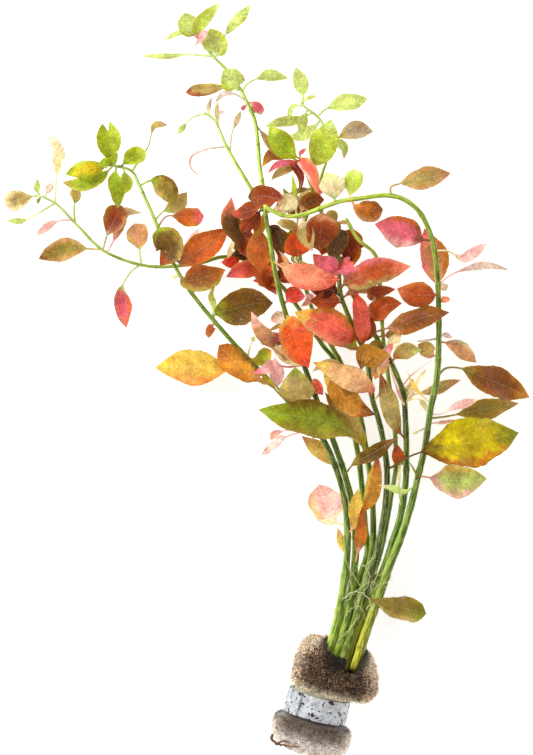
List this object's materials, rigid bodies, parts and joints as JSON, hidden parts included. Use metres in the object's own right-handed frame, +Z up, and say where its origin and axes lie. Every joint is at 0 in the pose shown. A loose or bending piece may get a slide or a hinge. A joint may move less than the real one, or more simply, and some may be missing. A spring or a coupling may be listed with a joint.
{
  "type": "ludwigia ovalis bunch",
  "caption": "Bunch of long leafy aquarium stems lying on its back, their feet held in a foam plug by a wrapped strip weight.",
  "frame": {"origin": "on the surface that the bunch lies on, under the middle of its outline", "axes": "+Y along the bunch, from the plug towards the crowns; +Z up, away from the surface; +X across, to the right seen from above"},
  "size_m": [0.2116, 0.3026, 0.05],
  "materials": {
    "stem": "living stem, smooth and slightly waxy",
    "leaf_green": "living leaf, thin, slightly waxy",
    "leaf_yellow": "living leaf, thin, slightly waxy",
    "leaf_red": "living leaf, thin, slightly waxy",
    "leaf_pink": "living leaf, thin, slightly waxy",
    "leaf_brown": "aged leaf, thin, dull",
    "leaf_olive": "aged leaf, thin, dull",
    "foam": "open-cell foam, matte",
    "weight": "soft grey metal strip, dull satin"
  },
  "bodies": {
    "root": {"stem_left": "stem", "stem_tall": "stem", "stem_low": "stem", "stem_back": "stem", "stem_dark": "stem", "stem_thick": "stem", "stem_pale": "stem", "stem_arch": "stem", "leaf_low_tip": "leaf_olive", "leaf_low_tall": "leaf_pink", "leaf_low_brown": "leaf_brown", "leaf_low_fan": "leaf_red", "leaf_low_spoon": "leaf_olive", "leaf_low_hanging": "leaf_pink", "leaf_left_north": "leaf_olive", "leaf_left_west": "leaf_olive", "leaf_left_west_low": "leaf_green", "leaf_left_south": "leaf_green", "leaf_left_east": "leaf_green", "leaf_left_wing": "leaf_olive", "leaf_left_coral": "leaf_pink", "leaf_left_dark": "leaf_brown", "leaf_left_red": "leaf_red", "leaf_left_olive": "leaf_olive", "leaf_left_big": "leaf_brown", "leaf_left_gold": "leaf_yellow", "leaf_left_orange": "leaf_yellow", "leaf_left_peach": "leaf_pink", "leaf_top_round": "leaf_green", "leaf_top_green": "leaf_green", "leaf_top_right": "leaf_green", "leaf_top_cup": "leaf_green", "leaf_high_round": "leaf_yellow", "leaf_high_left": "leaf_olive", "leaf_tall_hanging": "leaf_yellow", "leaf_tall_coral": "leaf_pink", "leaf_tall_flame": "leaf_red", "leaf_tall_orange": "leaf_yellow", "leaf_back_north": "leaf_green", "leaf_back_east": "leaf_green", "leaf_crown_green": "leaf_green", "leaf_crown_bright": "leaf_green", "leaf_crown_band": "leaf_red", "leaf_arch_brown": "leaf_brown", "leaf_arch_pink": "leaf_pink", "leaf_arch_under": "leaf_pink", "leaf_arch_rust": "leaf_brown", "leaf_arch_big": "leaf_brown", "leaf_arch_tan": "leaf_brown", "leaf_arch_red": "leaf_red", "leaf_arch_low": "leaf_yellow", "leaf_arch_foot": "leaf_olive", "leaf_centre_wide": "leaf_yellow", "leaf_centre_rust": "leaf_red", "leaf_centre_tan": "leaf_olive", "leaf_centre_green": "leaf_green", "foam_plug": "foam", "weight_band": "weight"}
  },
  "joints": []
}
